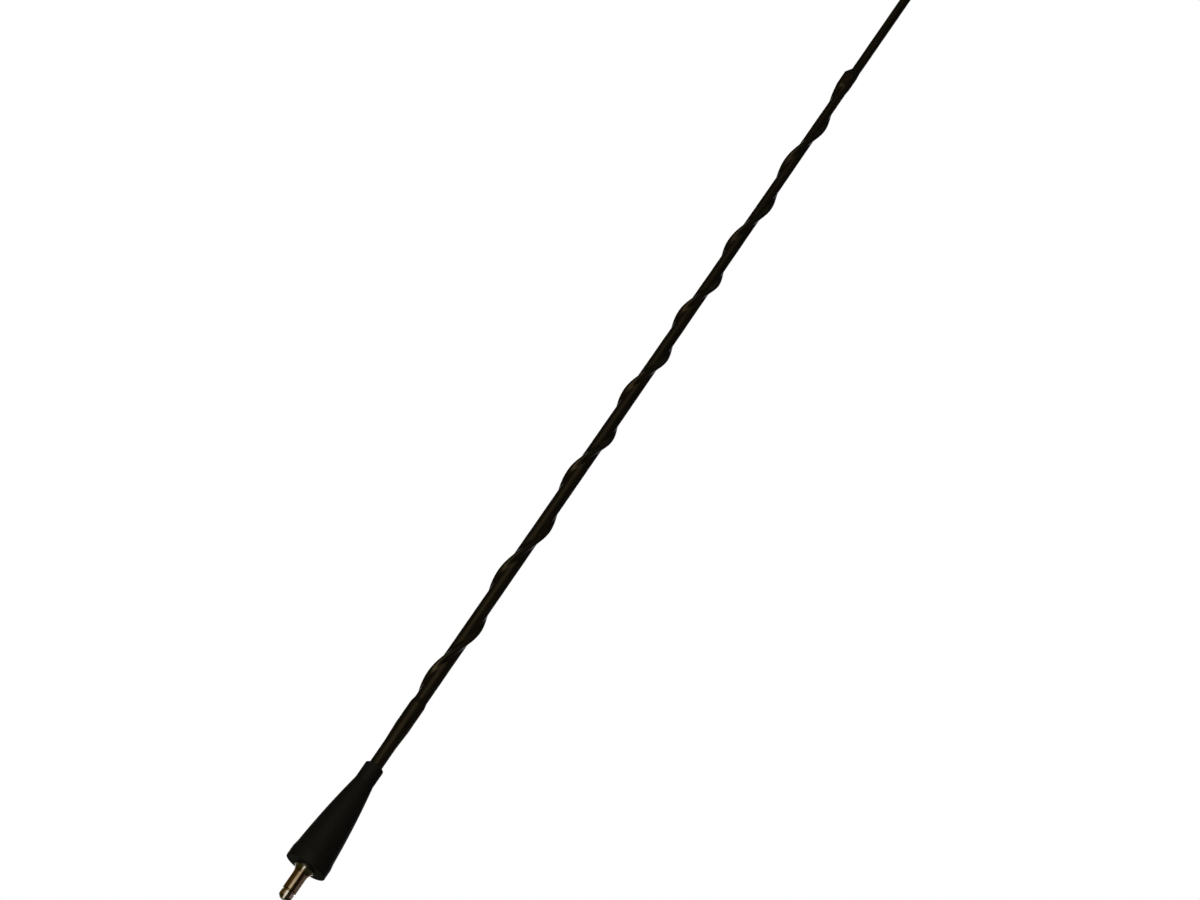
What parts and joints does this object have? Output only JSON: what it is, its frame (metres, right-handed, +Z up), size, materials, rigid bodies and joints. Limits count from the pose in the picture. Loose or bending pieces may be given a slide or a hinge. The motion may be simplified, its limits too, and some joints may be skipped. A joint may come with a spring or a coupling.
{
  "type": "car antenna",
  "caption": "Push-in car roof antenna mast: metal pin, tapered rubber boot and a thin black whip with a raised spiral ridge.",
  "frame": {"origin": "centre of the boot's seat face, on the mast's axis, where the face rests on the car's antenna base", "axes": "+Z up along the mast towards its tip, the pin points to -Z; +X is to the right and -Y faces the viewer when the spiral's lower tail is at the back (+Y)"},
  "size_m": [0.0148, 0.0148, 0.4129],
  "materials": {
    "fitting_metal": "turned, satin, worn nickel tone",
    "solder": "dull",
    "glass_fibre": "satin",
    "copper_wire": "enamelled copper",
    "cord_plastic": "matte",
    "binding_film": "smooth film",
    "sleeve_plastic": "satin shrink sleeve",
    "boot_rubber": "matte moulded rubber",
    "cap_plastic": "satin"
  },
  "bodies": {
    "root": {"end_fitting": "fitting_metal", "solder_joint": "solder", "core_rod": "glass_fibre", "conductor_wire": "copper_wire", "spiral_cord": "cord_plastic", "lower_binding": "binding_film", "upper_binding": "binding_film", "sleeve": "sleeve_plastic", "boot": "boot_rubber", "tip_cap": "cap_plastic"}
  },
  "joints": []
}
